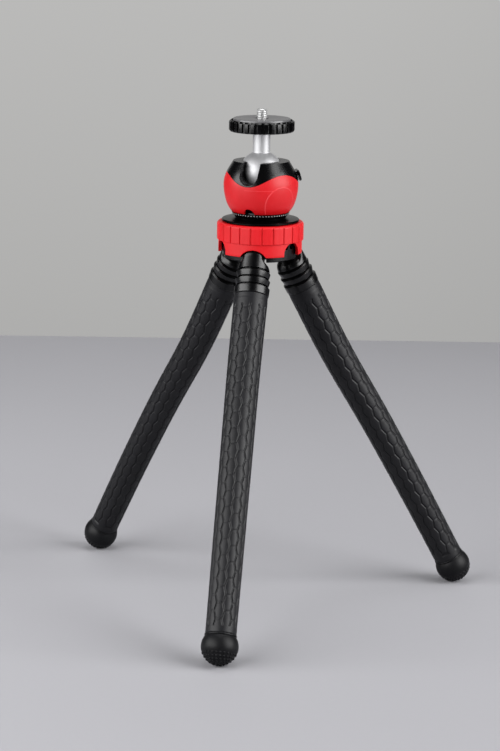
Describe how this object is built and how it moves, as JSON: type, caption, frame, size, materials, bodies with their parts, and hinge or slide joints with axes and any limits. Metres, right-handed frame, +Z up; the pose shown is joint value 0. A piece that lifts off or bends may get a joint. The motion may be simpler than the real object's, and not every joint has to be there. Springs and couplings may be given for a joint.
{
  "type": "mini tripod",
  "caption": "Small table tripod with bendable rubber-covered legs, a turning leg ring and a ball head with a camera plate and screw",
  "frame": {"origin": "on the floor plane, on the common axis of hub, leg ring and ball head", "axes": "+Z up along that axis; -Y towards the front leg, whose root leaves the hub in the YZ plane"},
  "size_m": [0.2568, 0.2299, 0.3027],
  "materials": {
    "black_gloss": "gloss black moulding",
    "plate_black": "gloss black, moulded ribs",
    "housing_black": "gloss black",
    "cover_red": "satin red",
    "ring_red": "satin bright red",
    "ball_metal": "satin, polished ball",
    "screw_steel": "bright",
    "inner_steel": "plain",
    "pad_rubber": "matt, smooth",
    "leg_rubber": "matt, moulded relief",
    "core_metal": "plain bendable core",
    "inner_plastic": "plain low-friction plastic"
  },
  "bodies": {
    "hub": {"hub_body": "black_gloss", "hub_cover": "black_gloss", "hub_cover_screws": "inner_steel", "hub_stud": "inner_steel", "leg_pins": "inner_steel", "head_base": "black_gloss", "pan_washer": "inner_plastic", "pan_retainer": "inner_steel", "pan_screw": "inner_steel"},
    "ring": {"leg_ring": "ring_red"},
    "head": {"head_housing": "housing_black", "head_lower_cover": "cover_red"},
    "knob": {"lock_knob": "black_gloss", "knob_screw": "inner_steel"},
    "ball_seat": {"ball_cup": "inner_plastic"},
    "ball": {"ball_stem": "ball_metal"},
    "plate": {"camera_plate": "plate_black", "plate_pad": "pad_rubber", "camera_screw": "screw_steel"},
    "front_leg_root": {"front_leg_collar": "black_gloss", "front_leg_core_top": "core_metal", "front_leg_sleeve_top": "leg_rubber"},
    "front_leg_upper": {"front_leg_core_upper": "core_metal", "front_leg_sleeve_upper": "leg_rubber"},
    "front_leg_lower": {"front_leg_core_lower": "core_metal", "front_leg_sleeve_lower": "leg_rubber"},
    "front_leg_end": {"front_leg_core_end": "core_metal", "front_leg_sleeve_end": "leg_rubber", "front_leg_foot": "leg_rubber"},
    "right_leg_root": {"right_leg_collar": "black_gloss", "right_leg_core_top": "core_metal", "right_leg_sleeve_top": "leg_rubber"},
    "right_leg_upper": {"right_leg_core_upper": "core_metal", "right_leg_sleeve_upper": "leg_rubber"},
    "right_leg_lower": {"right_leg_core_lower": "core_metal", "right_leg_sleeve_lower": "leg_rubber"},
    "right_leg_end": {"right_leg_core_end": "core_metal", "right_leg_sleeve_end": "leg_rubber", "right_leg_foot": "leg_rubber"},
    "left_leg_root": {"left_leg_collar": "black_gloss", "left_leg_core_top": "core_metal", "left_leg_sleeve_top": "leg_rubber"},
    "left_leg_upper": {"left_leg_core_upper": "core_metal", "left_leg_sleeve_upper": "leg_rubber"},
    "left_leg_lower": {"left_leg_core_lower": "core_metal", "left_leg_sleeve_lower": "leg_rubber"},
    "left_leg_end": {"left_leg_core_end": "core_metal", "left_leg_sleeve_end": "leg_rubber", "left_leg_foot": "leg_rubber"}
  },
  "joints": [
    {"name": "ring_turn", "type": "hinge", "parent": "hub", "child": "ring", "pos_m": [0, 0, 0.226], "axis": [0, 0, 1], "range_deg": [0, 60]},
    {"name": "head_pan", "type": "hinge", "parent": "hub", "child": "head", "pos_m": [0, 0, 0.2413], "axis": [0, 0, 1], "continuous": true},
    {"name": "ball_swivel", "type": "hinge", "parent": "head", "child": "ball_seat", "pos_m": [0, 0, 0.2646], "axis": [0, 0, 1], "range_deg": [-180, 0]},
    {"name": "ball_tilt", "type": "hinge", "parent": "ball_seat", "child": "ball", "pos_m": [0, 0, 0.2646], "axis": [0.9799, -0.1994, 0], "range_deg": [-33, 90]},
    {"name": "plate_spin", "type": "hinge", "parent": "ball", "child": "plate", "pos_m": [0, 0, 0.292], "axis": [0, 0, 1], "continuous": true},
    {"name": "lock_knob_turn", "type": "hinge", "parent": "head", "child": "knob", "pos_m": [0.02047, 0.00705, 0.2627], "axis": [0.9042, 0.3113, 0.2924], "range_deg": [0, 270]},
    {"name": "front_leg_fold", "type": "hinge", "parent": "hub", "child": "front_leg_root", "pos_m": [0, -0.01341, 0.2218], "axis": [1, 0, 0], "range_deg": [0, 27.88]},
    {"name": "front_leg_bend_upper", "type": "hinge", "parent": "front_leg_root", "child": "front_leg_upper", "pos_m": [0, -0.04988, 0.15285], "axis": [-1, 0, 0], "range_deg": [-50, 50]},
    {"name": "front_leg_bend_middle", "type": "hinge", "parent": "front_leg_upper", "child": "front_leg_lower", "pos_m": [0.00158, -0.078, 0.10919], "axis": [1, 0, 0], "range_deg": [-50, 50]},
    {"name": "front_leg_bend_lower", "type": "hinge", "parent": "front_leg_lower", "child": "front_leg_end", "pos_m": [0.00262, -0.10414, 0.06425], "axis": [-1, 0, 0], "range_deg": [-50, 50]},
    {"name": "right_leg_fold", "type": "hinge", "parent": "hub", "child": "right_leg_root", "pos_m": [0.01161, 0.00671, 0.2218], "axis": [-0.5, 0.866, 0], "range_deg": [0, 27.88]},
    {"name": "right_leg_bend_upper", "type": "hinge", "parent": "right_leg_root", "child": "right_leg_upper", "pos_m": [0.0432, 0.02494, 0.15285], "axis": [0.5, -0.866, 0], "range_deg": [-50, 50]},
    {"name": "right_leg_bend_middle", "type": "hinge", "parent": "right_leg_upper", "child": "right_leg_lower", "pos_m": [0.06838, 0.03413, 0.10832], "axis": [-0.5, 0.866, 0], "range_deg": [-50, 50]},
    {"name": "right_leg_bend_lower", "type": "hinge", "parent": "right_leg_lower", "child": "right_leg_end", "pos_m": [0.09181, 0.0441, 0.06298], "axis": [0.5, -0.866, 0], "range_deg": [-50, 50]},
    {"name": "left_leg_fold", "type": "hinge", "parent": "hub", "child": "left_leg_root", "pos_m": [-0.01161, 0.00671, 0.2218], "axis": [-0.5, -0.866, 0], "range_deg": [0, 27.88]},
    {"name": "left_leg_bend_upper", "type": "hinge", "parent": "left_leg_root", "child": "left_leg_upper", "pos_m": [-0.0432, 0.02494, 0.15285], "axis": [0.5, 0.866, 0], "range_deg": [-50, 50]},
    {"name": "left_leg_bend_middle", "type": "hinge", "parent": "left_leg_upper", "child": "left_leg_lower", "pos_m": [-0.06766, 0.042, 0.11015], "axis": [-0.5, -0.866, 0], "range_deg": [-50, 50]},
    {"name": "left_leg_bend_lower", "type": "hinge", "parent": "left_leg_lower", "child": "left_leg_end", "pos_m": [-0.09043, 0.0571, 0.06591], "axis": [0.5, 0.866, 0], "range_deg": [-50, 50]}
  ]
}
